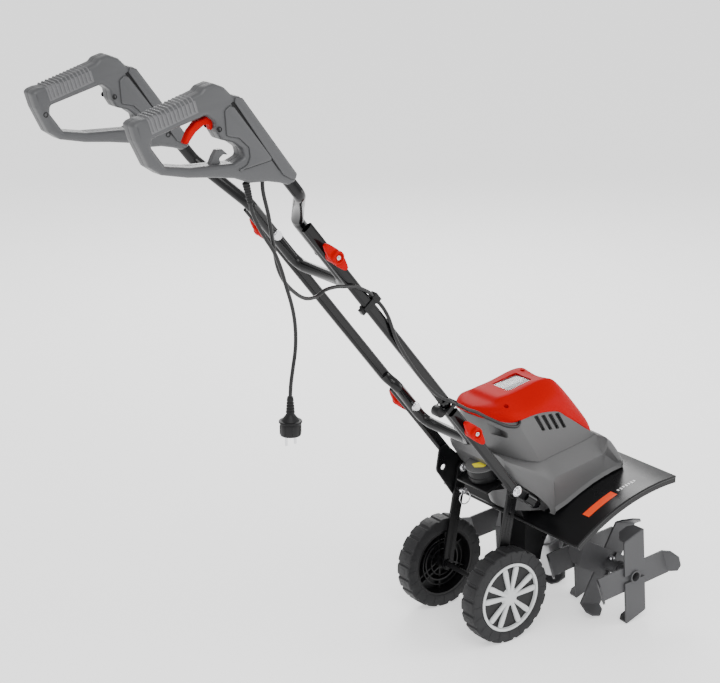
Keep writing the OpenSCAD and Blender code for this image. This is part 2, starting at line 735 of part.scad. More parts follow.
relief_top = [-407, 1064.5];
relief_end = [-398, 1027];
relief_len = norm(relief_top - relief_end);
relief_turn = atan2(relief_end[0] - relief_top[0], relief_top[1] - relief_end[1]);
module strain_relief() color(dark) translate([0, -grip_y, 0]) at(relief_end)
    rotate([0, -relief_turn, 0]) difference() {
        cylinder(r1 = cord_d / 2 + 1.6, r2 = 6.5, h = relief_len - 0.5);
        translate([0, 0, -1]) cylinder(r = 2.2, h = 8);
    }

module switch() color([0.15, 0.15, 0.3]) translate([-452, -grip_y - 9, 1156])
    rotate([0, 35, 0]) cube([24, 18, 18]);

trigger_pivot = [-470, 1189];
trigger_shape = [[-529, 1146], [-521, 1144], [-505, 1162], [-489, 1172], [-480, 1172],
    [-477, 1162], [-473, 1164], [-471, 1176], [-464, 1188], [-469, 1196], [-477, 1192],
    [-489, 1184], [-505, 1180], [-519, 1166]];
module trigger() color(red) translate([0, -grip_y, 0]) difference() {
    side(14) polygon(trigger_shape);
    at(trigger_pivot) across(2, 20);
}
button_place = [-461, 1210];
module lock_button() color(red) at(button_place) translate([0, -grip_y + 17.5, 0]) across(7, 15);

// ---------- cords ----------

mains_route = [[-398, -172, 1027], [-395, -172, 1012], [-383, -172, 985], [-368, -172, 960],
    [-352, -172, 935], [-339, -172, 905], [-328, -172, 870], [-318, -171, 840],
    [-311, -170, 812], [-308, -170, 782], [-309, -170, 750], [-314, -170, 720],
    [-319, -170, 690], [-321, -170, 664]];
lead_route = [[-374, -172, 1062], [-372, -172, 1040], [-361, -170, 1000], [-350, -166, 950],
    [-335, -158, 900], [-308, -146, 862], [-268, -134, 830], [-234, -124, 822],
    [-209, -120, 830], [-182, -115, 830], [-161, -111, 826], [-133, -107, 820],
    [-112, -106, 810], [-97, -103, 801], [-81, -97, 787], [-66, -101, 768], [-56, -105.5, 748],
    [-47, -106, 725], [-38, -106, 703], [-24, -106, 678], [-4, -106, 648],
    [16, -106, 621], [36, -106, 597], [56, -106.5, 576], [77, -108, 560],
    [92, -110, 552], [105, -106, 544], [121, -104, 535], [144, -100, 521], [169, -96, 509],
    [198, -93, 491], [226, -90, 475], [253, -89, 460], [279, -88, 452], [293, -84, 455],
    [296, -76, 461]];
module mains_cord() color(dark) sweep(smooth_route(mains_route, 2), lead_r);
module motor_lead() color(dark) sweep(smooth_route(lead_route, 2), lead_r);

// Round two-pin plug, hanging with its pins down
plug = [-321, -170, 664];
module mains_plug() color(dark) translate(plug) {
    translate([0, 0, -30]) cylinder(r1 = 8, r2 = 5.5, h = 30);
    translate([0, 0, -42]) cylinder(r1 = 15, r2 = 8, h = 12);
    translate([0, 0, -46]) cylinder(r = 21, h = 4);
    translate([0, 0, -70]) cylinder(r = 19, h = 24);
    color(steel) for (s = [-1, 1]) translate([9.5 * s, 0, -88.6]) cylinder(r = 2.4, h = 19);
}

lower_frame();
right_side_plate();
left_side_plate();
guard();
housing();
top_cover();
window();
gear_bracket();
gear_case();
gear_case_cover();
capacitor_case();
capacitor_cap();
stator();
motor_bearings();
shaft_bearings();
frame_bolts();
cover_screws();
lower_knob_bolts();
tine_shaft();
worm_wheel();
right_inner_tines();
right_outer_tines();
left_inner_tines();
left_outer_tines();
tine_pins();
motor_shaft();
armature();
cooling_fan();
right_arm();
left_arm();
wheel_axle();
lock_pin();
pull_ring();
right_tyre();
right_wheel();
right_hubcap();
left_tyre();
left_wheel();
left_hubcap();
middle_frame();
cable_clips();
upper_knob_bolts();
upper_frame();
right_handle_outer();
right_handle_inner();
left_handle_outer();
left_handle_inner();
right_grip();
left_grip();
strain_relief();
switch();
trigger();
lock_button();
right_lower_knob();
left_lower_knob();
right_upper_knob();
left_upper_knob();
mains_cord();
mains_plug();
motor_lead();
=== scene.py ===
"""Electric garden tiller: what the machine looks like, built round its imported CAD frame.

Places are in millimetres in the frame's axes: X forward, Y left, Z up.
"""

import json
import math

import bmesh
import bpy
from mathutils import Matrix, Vector
from mathutils.geometry import tessellate_polygon


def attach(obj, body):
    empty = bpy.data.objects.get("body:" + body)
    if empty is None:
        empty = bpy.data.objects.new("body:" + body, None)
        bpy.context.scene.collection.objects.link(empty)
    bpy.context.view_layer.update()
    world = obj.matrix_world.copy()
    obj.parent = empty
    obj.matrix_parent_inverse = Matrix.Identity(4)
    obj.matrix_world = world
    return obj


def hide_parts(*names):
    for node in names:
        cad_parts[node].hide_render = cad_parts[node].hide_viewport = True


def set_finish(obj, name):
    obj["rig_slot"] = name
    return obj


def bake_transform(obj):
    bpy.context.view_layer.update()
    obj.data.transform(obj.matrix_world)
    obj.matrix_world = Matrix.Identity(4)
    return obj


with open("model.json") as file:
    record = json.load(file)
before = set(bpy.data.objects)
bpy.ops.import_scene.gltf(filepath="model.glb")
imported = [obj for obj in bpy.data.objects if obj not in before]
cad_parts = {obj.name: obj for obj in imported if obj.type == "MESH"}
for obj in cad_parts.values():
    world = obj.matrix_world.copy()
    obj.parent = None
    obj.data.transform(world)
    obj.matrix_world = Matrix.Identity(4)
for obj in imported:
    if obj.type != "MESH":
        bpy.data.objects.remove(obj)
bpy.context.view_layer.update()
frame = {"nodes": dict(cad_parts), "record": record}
scene = bpy.context.scene
MM = 0.001

# Side-view places shared by several groups of pieces, (x, z)
AXLE = (245, 100)
ARM_PIVOT = (282, 312)
LOWER_JOINT = (145.8, 478.2)
UPPER_JOINT = (-184.8, 887.4)
FRAME_BOLT = (275.6, 317.6)

TUBE_ANGLE = 51.06      # slope of the handle tubes, degrees
FRAME_SLOPE = 35.8      # slope of the lower frame's round U, degrees
GRIP_Y = 172            # middle plane of each D handle
SIDES = ((-1, "right"), (1, "left"))


# ---------- camera, light and floor ----------

def set_up_camera():
    camera = bpy.data.cameras.new("camera")
    camera.lens = 96.4
    camera.sensor_width = 36
    seat = bpy.data.objects.new("camera", camera)
    seat.location = (-2.1193, -2.8172, 1.8046)
    seat.rotation_euler = (math.radians(72.04), 0, math.radians(-36.39))
    scene.collection.objects.link(seat)
    scene.camera = seat


def area_light(name, place, aim, size, power):
    light = bpy.data.lights.new(name, "AREA")
    light.energy, light.size = power, size
    lamp = bpy.data.objects.new(name, light)
    lamp.location = place
    lamp.rotation_euler = (Vector(aim) - Vector(place)).to_track_quat("-Z", "Y").to_euler()
    scene.collection.objects.link(lamp)


def set_up_studio():
    world = bpy.data.worlds.new("studio")
    world.use_nodes = True
    sky = world.node_tree.nodes["Background"].inputs
    sky["Color"].default_value = (1, 1, 1, 1)
    sky["Strength"].default_value = 1.0
    scene.world = world
    area_light("key", (-1.2, -2.2, 3.2), (0.2, 0, 0.4), 2.2, 70)
    area_light("rim", (1.8, 2.4, 2.2), (0.1, 0, 0.5), 1.6, 60)
    area_light("front", (2.6, -1.6, 1.2), (0.4, 0, 0.3), 1.2, 22)


# ---------- materials ----------

def material(name, color, rough=0.5, metal=0.0, grain_size=600, bump=0.05, wear=0.06,
             glass=0.0, shine=0.5):
    """A finish with fine grain in its bump and soft blotches of wear in its colour and
    roughness."""
    m = bpy.data.materials.new(name)
    m.use_nodes = True
    tree = m.node_tree
    shader = tree.nodes["Principled BSDF"]
    place = tree.nodes.new("ShaderNodeTexCoord")
    fine = tree.nodes.new("ShaderNodeTexNoise")
    fine.inputs["Scale"].default_value = grain_size
    fine.inputs["Detail"].default_value = 3
    broad = tree.nodes.new("ShaderNodeTexNoise")
    broad.inputs["Scale"].default_value = 9
    broad.inputs["Detail"].default_value = 6
    shades = tree.nodes.new("ShaderNodeMapRange")
    shades.inputs["To Min"].default_value = 1 - wear
    shades.inputs["To Max"].default_value = 1 + wear
    tint = tree.nodes.new("ShaderNodeMix")
    tint.data_type, tint.blend_type = "RGBA", "MULTIPLY"
    tint.inputs["Factor"].default_value = 1
    tint.inputs["A"].default_value = (*color, 1)
    roughness = tree.nodes.new("ShaderNodeMapRange")
    roughness.inputs["To Min"].default_value = max(rough - 0.08 - wear, 0.02)
    roughness.inputs["To Max"].default_value = min(rough + 0.08 + wear, 1)
    dents = tree.nodes.new("ShaderNodeBump")
    dents.inputs["Strength"].default_value = bump
    dents.inputs["Distance"].default_value = 0.0004
    link = tree.links.new
    for noise in (fine, broad):
        link(place.outputs["Object"], noise.inputs["Vector"])
    link(broad.outputs["Fac"], shades.inputs["Value"])
    link(shades.outputs["Result"], tint.inputs["B"])
    link(tint.outputs["Result"], shader.inputs["Base Color"])
    link(broad.outputs["Fac"], roughness.inputs["Value"])
    link(roughness.outputs["Result"], shader.inputs["Roughness"])
    link(fine.outputs["Fac"], dents.inputs["Height"])
    link(dents.outputs["Normal"], shader.inputs["Normal"])
    shader.inputs["Metallic"].default_value = metal
    shader.inputs["Specular IOR Level"].default_value = shine
    if glass:
        shader.inputs["Transmission Weight"].default_value = glass
        shader.inputs["IOR"].default_value = 1.3
    return m


def make_materials():
    moulded = dict(rough=0.46, bump=0.14, grain_size=900, wear=0.05)
    finishes = {
        "black_tube": dict(color=(0.003, 0.003, 0.0035), rough=0.2, bump=0.03, shine=0.3),
        "black_steel": dict(color=(0.004, 0.004, 0.0045), rough=0.3, shine=0.22),
        "guard_plastic": dict(color=(0.004, 0.004, 0.0045), rough=0.3, bump=0.06, shine=0.3),
        "grey_plastic": dict(color=(0.082, 0.082, 0.083), **moulded),
        "red_plastic": dict(color=(0.42, 0.0, 0.002), rough=0.45, shine=0.03),
        "clear_window": dict(color=(0.75, 0.77, 0.78), rough=0.1, glass=0.95, bump=0.01,
                             shine=0.1),
        "cast_aluminium": dict(color=(0.62, 0.62, 0.63), rough=0.42, metal=0.9, bump=0.3),
        "black_plastic": dict(color=(0.005, 0.005, 0.0055), rough=0.42, bump=0.12, shine=0.25),
        "motor_core": dict(color=(0.25, 0.25, 0.26), rough=0.5, metal=0.8, bump=0.2),
        "plain_steel": dict(color=(0.45, 0.45, 0.46), rough=0.32, metal=1.0, bump=0.08),
        "zinc_steel": dict(color=(0.72, 0.72, 0.74), rough=0.24, metal=1.0),
        "bronze": dict(color=(0.5, 0.32, 0.12), rough=0.35, metal=1.0),
        "tine_steel": dict(color=(0.052, 0.052, 0.055), rough=0.5, metal=0.25, bump=0.3,
                           grain_size=500, wear=0.12),
        "copper_winding": dict(color=(0.55, 0.2, 0.09), rough=0.3, metal=1.0),
        "tyre_plastic": dict(color=(0.012, 0.012, 0.013), rough=0.55, bump=0.25, wear=0.1,
                             shine=0.3),
        "wheel_plastic": dict(color=(0.004, 0.004, 0.0045), rough=0.36, bump=0.1, shine=0.3),
        "hubcap_plastic": dict(color=(0.56, 0.575, 0.575), rough=0.42, bump=0.08),
        "cable_jacket": dict(color=(0.005, 0.005, 0.0055), rough=0.34, bump=0.08, shine=0.35),
        "handle_plastic": dict(color=(0.058, 0.059, 0.062), **moulded),
        "grip_rubber": dict(color=(0.12, 0.12, 0.125), rough=0.5, bump=0.12),
        "black_rubber": dict(color=(0.006, 0.006, 0.0065), rough=0.5, bump=0.15, shine=0.25),
        "orange_label": dict(color=(0.9, 0.06, 0.002), rough=0.4, bump=0.02, wear=0.03),
        "yellow_label": dict(color=(0.95, 0.8, 0.01), rough=0.4, bump=0.02, wear=0.03),
        "white_print": dict(color=(0.75, 0.75, 0.75), rough=0.4, bump=0.02, wear=0.03),
    }
    return {name: material(name, **finish) for name, finish in finishes.items()}


# ---------- building helpers ----------

def finish_mesh(mesh, slot, sharp=38):
    """Smooth shading with edges kept sharp where faces meet at more than an angle."""
    shape = bmesh.new()
    shape.from_mesh(mesh)
    bmesh.ops.remove_doubles(shape, verts=shape.verts, dist=1e-6)
    bmesh.ops.recalc_face_normals(shape, faces=shape.faces)
    for face in shape.faces:
        face.smooth = True
    for edge in shape.edges:
        edge.smooth = len(edge.link_faces) == 2 and edge.calc_face_angle(0) < math.radians(sharp)
    shape.to_mesh(mesh)
    shape.free()
    mesh.materials.clear()
    mesh.materials.append(FINISH[slot])


def piece(name, parts, body, slot, stands_for=(), sharp=38):
    """One object made of parts, each (points in mm, faces), that rides on a body."""
    points, faces = [], []
    for part_points, part_faces in parts:
        start = len(points)
        points += [Vector(p) * MM for p in part_points]
        faces += [[i + start for i in face] for face in part_faces]
    mesh = bpy.data.meshes.new(name)
    mesh.from_pydata(points, [], faces)
    finish_mesh(mesh, slot, sharp)
    made = bpy.data.objects.new(name, mesh)
    scene.collection.objects.link(made)
    if body:
        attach(made, body)
    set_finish(made, slot)
    if stands_for:
        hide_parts(*stands_for)
    return made


def baked(made, *modifiers):
    """The object with modifiers, each (type, settings), applied to its mesh."""
    for kind, settings in modifiers:
        modifier = made.modifiers.new(kind.lower(), kind)
        for key, value in settings.items():
            setattr(modifier, key, value)
    done = bpy.data.meshes.new_from_object(
        made.evaluated_get(bpy.context.evaluated_depsgraph_get()))
    made.modifiers.clear()
    made.data = done
    return made


def cut(made, parts):
    """Takes parts out of an object's mesh."""
    tool = piece("cutter", parts, "chassis", "black_plastic")
    tool.hide_render = True
    baked(made, ("BOOLEAN", {"object": tool, "operation": "DIFFERENCE", "solver": "MANIFOLD"}))
    bpy.data.objects.remove(tool)


def softened(made, width, angle, slot, sharp):
    """Rounds the edges of an object that are sharper than an angle, and smooths it again."""
    baked(made, ("BEVEL", {"width": width * MM, "segments": 2, "limit_method": "ANGLE",
                           "angle_limit": math.radians(angle)}))
    finish_mesh(made.data, slot, sharp)


def moved(part, matrix):
    """The part, (points, faces), placed by a matrix."""
    return [matrix @ Vector(p) for p in part[0]], part[1]


def mirrored(part):
    """The part on the other side of the machine."""
    return [(x, -y, z) for x, y, z in part[0]], part[1]


def turned(angle, axis, about):
    """A turn in degrees about an axis through a point."""
    return (Matrix.Translation(about) @ Matrix.Rotation(math.radians(angle), 4, axis)
            @ Matrix.Translation(-Vector(about)))


def rounded(corners, radius, steps=5):
    """The outline with each corner replaced by an arc that fits between its neighbours."""
    out, count = [], len(corners)
    for i, here in enumerate(corners):
        here = Vector(here)
        back, on = Vector(corners[i - 1]) - here, Vector(corners[(i + 1) % count]) - here
        angle = back.angle(on)
        if angle > math.radians(176):
            out.append(tuple(here))
            continue
        cut = min(radius / math.tan(angle / 2), 0.45 * min(back.length, on.length))
        a, b = here + back.normalized() * cut, here + on.normalized() * cut
        for k in range(steps + 1):
            t = k / steps
            out.append(tuple(a * (1 - t) ** 2 + here * 2 * t * (1 - t) + b * t * t))
    return out


def circle(centre, radius, count):
    return [(centre[0] + radius * math.cos(2 * math.pi * i / count),
             centre[1] + radius * math.sin(2 * math.pi * i / count)) for i in range(count)]


def oriented(loop, anticlockwise):
    """The loop in the wanted direction of travel."""
    area = sum(a[0] * b[1] - b[0] * a[1] for a, b in zip(loop, loop[1:] + loop[:1]))
    return list(loop) if (area > 0) == anticlockwise else list(reversed(loop))


def inset(loop, distance):
    """Each point of a loop moved into the material, which lies on its left."""
    out, count = [], len(loop)
    for i, here in enumerate(loop):
        a, b, c = Vector(loop[i - 1]), Vector(here), Vector(loop[(i + 1) % count])
        u, v = (b - a), (c - b)
        u = u.normalized() if u.length > 1e-9 else v.normalized()
        v = v.normalized() if v.length > 1e-9 else u
        normal = Vector((-u.y - v.y, u.x + v.x))
        if normal.length < 1e-6:
            out.append(tuple(b))
            continue
        normal.normalize()
        stretch = min(1 / max(normal.dot(Vector((-u.y, u.x))), 0.3), 1.8)
        out.append(tuple(b + normal * distance * stretch))
    return out


def slab(outline, y0, y1, edge=(1.0, 1.0), holes=(), steps=3, far_edge=None):
    """A plate with a side-view outline from y0 to y1. Its rims are rounded over edge =
    (width, depth) at y0, and over far_edge at y1."""
    loops = [oriented(outline, True)] + [oriented(h, False) for h in holes]
    near, far = edge, far_edge or edge
    towards = 1 if y1 > y0 else -1
    rings = []
    for k in range(steps + 1):
        a = math.pi / 2 * k / steps
        rings.append((near[0] * (1 - math.sin(a)), y0 + towards * near[1] * (1 - math.cos(a))))
    for k in range(steps + 1):
        a = math.pi / 2 * (1 - k / steps)
        rings.append((far[0] * (1 - math.sin(a)), y1 - towards * far[1] * (1 - math.cos(a))))
    points, faces, starts = [], [], []
    for distance, y in rings:
        starts.append(len(points))
        for loop in loops:
            points += [(x, y, z) for x, z in inset(loop, distance)]
    for a, b in zip(starts, starts[1:]):
        first = 0
        for loop in loops:
            for i in range(len(loop)):
                j = (i + 1) % len(loop)
                faces.append([a + first + i, a + first + j, b + first + j, b + first + i])
            first += len(loop)
    for start, distance in ((starts[0], rings[0][0]), (starts[-1], rings[-1][0])):
        caps = tessellate_polygon([[(x, z, 0) for x, z in inset(loop, distance)]
                                   for loop in loops])
        faces += [[start + i for i in cap] for cap in caps]
    return points, faces


def lathe(profile, centre, axis="Y", count=40):
    """A profile of (radius, distance along the axis) turned about an axis through centre."""
    points, faces = [], []
    for radius, along in profile:
        for i in range(count):
            a = 2 * math.pi * i / count
            u, v = radius * math.cos(a), radius * math.sin(a)
            offset = {"X": (along, u, v), "Y": (u, along, v), "Z": (u, v, along)}[axis]
            points.append(tuple(Vector(centre) + Vector(offset)))
    for ring in range(len(profile) - 1):
        for i in range(count):
            j = (i + 1) % count
            faces.append([ring * count + i, ring * count + j,
                          (ring + 1) * count + j, (ring + 1) * count + i])
    for ring, last in ((0, False), (len(profile) - 1, True)):
        if profile[ring][0] > 1e-6 and (last or profile[0] != profile[-1]):
            faces.append([ring * count + i for i in range(count)])
    return points, faces


def smooth_line(corners, steps):
    """A Catmull-Rom curve through points."""
    p = [Vector(c) for c in corners]
    out = []
    for i in range(len(p) - 1):
        a, b, c, d = p[max(i - 1, 0)], p[i], p[i + 1], p[min(i + 2, len(p) - 1)]
        for k in range(steps):
            t = k / steps
            out.append((2 * b + (c - a) * t + (2 * a - 5 * b + 4 * c - d) * t * t
                        + (3 * b - a - 3 * c + d) * t ** 3) / 2)
    return out + [p[-1]]


def tube(line, radius, sides=12, closed=False):
    """A round sweep along points; radius is a number or one number for each point."""
    points, faces, count = [], [], len(line)
    side = None
    for i in range(count):
        before = line[i - 1] if i or closed else line[0]
        after = line[(i + 1) % count] if i + 1 < count or closed else line[-1]
        ahead = (Vector(after) - Vector(before)).normalized()
        if side is None:
            side = ahead.cross(Vector((0, 1, 0)) if abs(ahead.y) < 0.9 else Vector((1, 0, 0)))
        side = (side - ahead * side.dot(ahead)).normalized()
        up = ahead.cross(side)
        r = radius[i] if isinstance(radius, (list, tuple)) else radius
        for k in range(sides):
            a = 2 * math.pi * k / sides
            points.append(Vector(line[i]) + (side * math.cos(a) + up * math.sin(a)) * r)
    for i in range(count if closed else count - 1):
        a, b = i * sides, (i + 1) % count * sides
        for k in range(sides):
            faces.append([a + k, a + (k + 1) % sides, b + (k + 1) % sides, b + k])
    if not closed:
        faces.append(list(range(sides)))
        faces.append([(count - 1) * sides + k for k in range(sides)])
    return points, faces


def loft(rings):
    """Quads between rings of the same number of points, with a face over each end."""
    count = len(rings[0])
    points = [p for ring in rings for p in ring]
    faces = []
    for r in range(len(rings) - 1):
        for i in range(count):
            j = (i + 1) % count
            faces.append([r * count + i, r * count + j, (r + 1) * count + j, (r + 1) * count + i])
    faces.append(list(range(count)))
    faces.append([(len(rings) - 1) * count + i for i in range(count)])
    return points, faces


def whole_ring(x, half):
    """A ring across the machine at x from points (|y|, z), first and last on the middle line."""
    near = [(x, -y, z) for y, z in half]
    far = [(x, y, z) for y, z in reversed(half) if y > 0]
    return near + far


def along(joint, s, y=0.0, n=0.0):
    """A point s up the handle tube from a joint and n out to its rear side."""
    a = math.radians(TUBE_ANGLE)
    return (joint[0] - s * math.cos(a) - n * math.sin(a), y,
            joint[1] + s * math.sin(a) - n * math.cos(a))


# ---------- cords ----------

CORD_R = 3.5
# The mains cord from the strain relief down to the plug
MAINS = [(-398, -172, 1027), (-395, -172, 1012), (-383, -172, 985), (-368, -172, 960),
         (-352, -172, 935), (-339, -172, 905), (-328, -172, 870), (-318, -171, 840),
         (-311, -170, 812), (-308, -170, 782), (-309, -170, 750), (-314, -170, 720),
         (-319, -170, 690), (-321, -170, 664)]
# The motor lead from the switch box to the upper clip, down the middle frame, and to the motor
LEAD_LOOP = [(-374, -172, 1062), (-372, -172, 1040), (-361, -170, 1000), (-350, -166, 950),
             (-335, -158, 900), (-308, -146, 862), (-268, -134, 830), (-234, -124, 822),
             (-209, -120, 830), (-182, -115, 830), (-161, -111, 826), (-133, -107, 820),
             (-112, -106, 810), (-97, -103, 801), (-81, -97, 787)]
LEAD_RUN = [(-81, -97, 787), (-66, -101, 768), (-56, -105.5, 748), (-47, -106, 725),
            (-38, -106, 703), (-24, -106, 678), (-4, -106, 648), (16, -106, 621),
            (36, -106, 597), (56, -106.5, 576), (77, -108, 560), (92, -110, 552),
            (105, -106, 544)]
LEAD_END = [(105, -106, 544), (121, -104, 535), (144, -100, 521), (169, -96, 509),
            (198, -93, 491), (226, -90, 475), (253, -89, 460), (279, -88, 452),
            (293, -84, 455), (296, -76, 461)]


def make_plug():
    body = [(0, 3), (5.2, 2), (5.8, -1)]
    for i in range(5):
        z = -3 - 5.4 * i
        body += [(6.2 + 0.45 * i, z), (6.4 + 0.45 * i, z - 2.6), (5.2 + 0.5 * i, z - 3.2),
                 (5.3 + 0.5 * i, z - 4.8)]
    body += [(9.5, -33), (13.5, -38), (16.2, -42), (20.4, -42.6), (21, -43.4), (21, -45.4),
             (20.2, -46.2), (18.2, -46.8), (18.6, -48), (19, -52), (19, -67), (18.2, -69.4),
             (16.5, -70), (0, -70)]
    top = MAINS[-1]
    shell = [lathe(body, top, "Z", 48)]
    for i in range(8):
        a = math.radians(22.5 + 45 * i)
        foot = Vector(top) + Vector((18.8 * math.cos(a), 18.8 * math.sin(a), 0))
        shell.append(tube([foot + Vector((0, 0, -50)), foot + Vector((0, 0, -66))], 1.1, 8))
    plug = piece("plug_body", shell, "upper_handle", "black_rubber", ["mains_plug"])
    pins = [lathe([(0, -69.5), (2.4, -69.6), (2.4, -87.6), (1.6, -88.5), (0, -88.6)],
                  (top[0] + s * 9.5, top[1], top[2]), "Z", 20) for s in (-1, 1)]
    return plug, piece("plug_pins", pins, "upper_handle", "zinc_steel")


def make_strain_relief():
    top, end = Vector((-407, -172, 1064.5)), Vector(MAINS[0])
    line, radii = [], []
    for i in range(25):
        t = i / 24
        line.append(top.lerp(end, t))
        radii.append(6.5 - 1.4 * t + (0.25 if i % 3 else -0.55))
    return piece("relief", [tube(line, radii, 20)], "upper_handle", "black_rubber",
                 ["strain_relief"])


def make_cords():
    route = smooth_line(MAINS, 6)
    cord = piece("mains_flex", [tube(route, CORD_R, 16)], "upper_handle", "cable_jacket",
                 ["mains_cord"])
    plug, pins = make_plug()
    make_strain_relief()
    loop = piece("lead_loop", [tube(smooth_line(LEAD_LOOP, 6), CORD_R, 16)], None,
                 "cable_jacket", ["motor_lead"])
    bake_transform(loop)
    piece("lead_run", [tube(smooth_line(LEAD_RUN, 6), CORD_R, 16)], "middle_handle",
          "cable_jacket")
    tail = piece("lead_tail", [tube(smooth_line(LEAD_END, 6), CORD_R, 16)], None, "cable_jacket")
    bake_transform(tail)


# ---------- motor cover and housing ----------

# For each x, the half outline across the machine as (|y|, z): crown, shoulder, side, lip
COVER = [
    (222, [(0, 482), (10, 482), (16, 480), (20, 477), (24, 474), (26, 471), (27, 468), (0, 468)]),
    (232, [(0, 486), (22, 486), (34, 484), (40, 480), (44, 476), (46, 472), (47, 467), (0, 467)]),
    (246, [(0, 489), (32, 489), (46, 487), (54, 483), (58, 478), (60, 472), (61, 464), (0, 464)]),
    (258, [(0, 491), (36, 491), (52, 489), (62, 484), (67, 478), (69, 472), (70, 461), (0, 461)]),
    (265, [(0, 494), (37, 494), (48, 492), (64, 485), (70, 479), (73, 471), (74, 459), (0, 459)]),
    (272, [(0, 499), (38, 499), (44, 495), (62, 487), (73, 480), (77, 471), (78, 458), (0, 458)]),
    (282, [(0, 501), (40, 501), (46, 496), (62, 488), (75, 480), (80, 471), (82, 457), (0, 457)]),
    (300, [(0, 503), (41, 502), (47, 498), (61, 489), (75, 479), (81, 471), (84, 459), (0, 459)]),
    (320, [(0, 506), (41, 505), (47, 501), (61, 491), (75, 480), (82, 472), (85, 463), (0, 463)]),
    (340, [(0, 509), (42, 509), (48, 505), (61, 495), (75, 484), (82, 475), (86, 465), (0, 465)]),
    (360, [(0, 512), (42, 514), (48, 510), (61, 500), (75, 488), (82, 477), (86, 464), (0, 464)]),
    (380, [(0, 514), (42, 518), (48, 514), (61, 504), (75, 490), (82, 477), (85, 461), (0, 461)]),
    (400, [(0, 512), (42, 518), (48, 515), (61, 504), (75, 488), (81, 474), (84, 457), (0, 457)]),
    (414, [(0, 505), (43, 514), (49, 510), (61, 499), (74, 482), (80, 466), (83, 447), (0, 447)]),
    (428, [(0, 494), (44, 502), (50, 498), (61, 488), (73, 471), (79, 455), (82, 436), (0, 436)]),
    (450, [(0, 470), (46, 477), (52, 474), (61, 464), (71, 450), (77, 437), (79, 421), (0, 421)]),
    (475, [(0, 440), (48, 447), (54, 444), (61, 436), (69, 425), (74, 415), (76, 403), (0, 403)]),
    (498, [(0, 412), (50, 418), (55, 415), (61, 409), (67, 401), (71, 395), (72, 388), (0, 388)]),
    (514, [(0, 393), (52, 397), (56, 395), (60, 391), (63, 387), (65, 383), (66, 379), (0, 379)]),
]

# The housing's body by height: z, its rear end, where its sides turn flat, its front end
BODY = [(244, 312, 388, 470), (285, 295, 380, 500), (310, 272, 373, 506), (334, 266, 363, 512),
        (357, 262, 354, 514), (385, 258, 338, 514), (412, 246, 320, 514), (432, 237, 306, 514),
        (450, 231, 294, 514), (468, 226, 286, 514)]

# Its plinth by x, as (|y|, z): top, valley, edge of the slope, recess and rim
PLINTH = [
    (254, [(0, 388), (66, 388), (78, 386), (84, 384), (87, 381), (88, 376), (86, 372), (82, 366),
           (0, 364)]),
    (268, [(0, 382), (72, 382), (84, 379), (90, 376), (92, 371), (93, 364), (90, 356), (86, 348),
           (0, 344)]),
    (282, [(0, 377), (76, 377), (87, 373), (93, 369), (96, 362), (96, 352), (93, 338), (88, 326),
           (0, 320)]),
    (305, [(0, 368), (79, 368), (88, 364), (95, 358), (98, 346), (98, 330), (96, 312), (92, 300),
           (0, 294)]),
    (328, [(0, 360), (80, 360), (87, 355), (95, 347), (100, 334), (102, 316), (101, 292),
           (98, 277), (0, 270)]),
    (350, [(0, 357), (81, 356), (85, 352), (97, 338), (103, 324), (106, 306), (107, 272),
           (106, 257), (0, 250)]),
    (370, [(0, 358), (81, 357), (83, 355), (103, 327), (107, 312), (110.5, 290), (112, 258),
           (112, 246), (0, 238)]),
    (375, [(0, 360), (81, 359), (83, 357), (104.5, 326), (105, 320), (105.5, 300), (107, 260),
           (112, 252), (0, 240)]),
    (405, [(0, 365), (81, 364), (83, 362), (105, 330), (105.2, 327), (106, 300), (107, 269),
           (112, 262), (0, 257)]),
    (440, [(0, 370), (81, 369), (83, 367), (105, 335), (105.2, 332), (106, 308), (107, 284),
           (112, 277), (0, 272)]),
    (475, [(0, 376), (81, 375), (83, 373), (105, 340), (105.2, 337), (106, 315), (107, 297),
           (112, 290), (0, 285)]),
    (508, [(0, 384), (81, 382), (83, 380), (103, 346), (104, 342), (105, 322), (107, 306),
           (112, 299), (0, 293)]),
    (515, [(0, 384), (82, 383), (104, 381), (109, 377), (110, 362), (104, 342), (107, 307),
           (112, 300), (0, 295)]),
    (530, [(0, 371), (82, 371), (103, 369), (109, 364), (110.5, 344), (104.5, 330), (107, 310),
           (112, 304), (0, 298)]),
    (545, [(0, 353), (82, 353), (102, 351), (108, 346), (111, 326), (107, 318), (108.5, 312),
           (112, 306), (0, 301)]),
    (556, [(0, 339), (82, 339), (100, 338), (106, 333), (110, 323), (111.5, 317), (112, 312),
           (112, 307), (0, 302)]),
    (564, [(0, 327), (80, 327), (97, 326), (102, 323), (106, 318), (108, 314), (108, 310),
           (107, 306), (0, 303)]),
    (569, [(0, 316), (78, 316), (92, 315), (97, 314), (100, 312), (101, 310), (101, 308),
           (100, 306), (0, 304)]),
]
WINDOW = (343, 0, 509)
WINDOW_TILT = -8.5
WINDOW_HALF = (32, 25)      # half its length and half its width
COVER_SCREWS = ((277, -60, 484), (277, 60, 484), (395, 27, 512))
GRILLE_BARS = 14
HOUSING_HALF = 80           # half the width of the body's flat sides
VENT = [(-6, 17), (5, 17), (28, -20), (19, -20)]
VENT_PLACES = [(340 + 19 * i, 442 - 2 * i) for i in range(4)]
# Black sheets at the floor of the vent recesses: painted shade for the dark inside of the vents
VENT_SHADE = [(325, 466), (414, 452), (430, 412), (340, 412)]
SIDE_SLOT = [(218, 468), (229, 463), (277, 433), (281, 419), (248, 431), (222, 455)]


def crease_lines(made, count, lines, amount):
    """Keeps the edges along some lines of a loft sharp when the loft is subdivided."""
    layer = made.data.attributes.new("crease_edge", "FLOAT", "EDGE")
    for edge in made.data.edges:
        a, b = edge.vertices
        if a % count == b % count and a % count in lines:
            layer.data[edge.index].value = amount


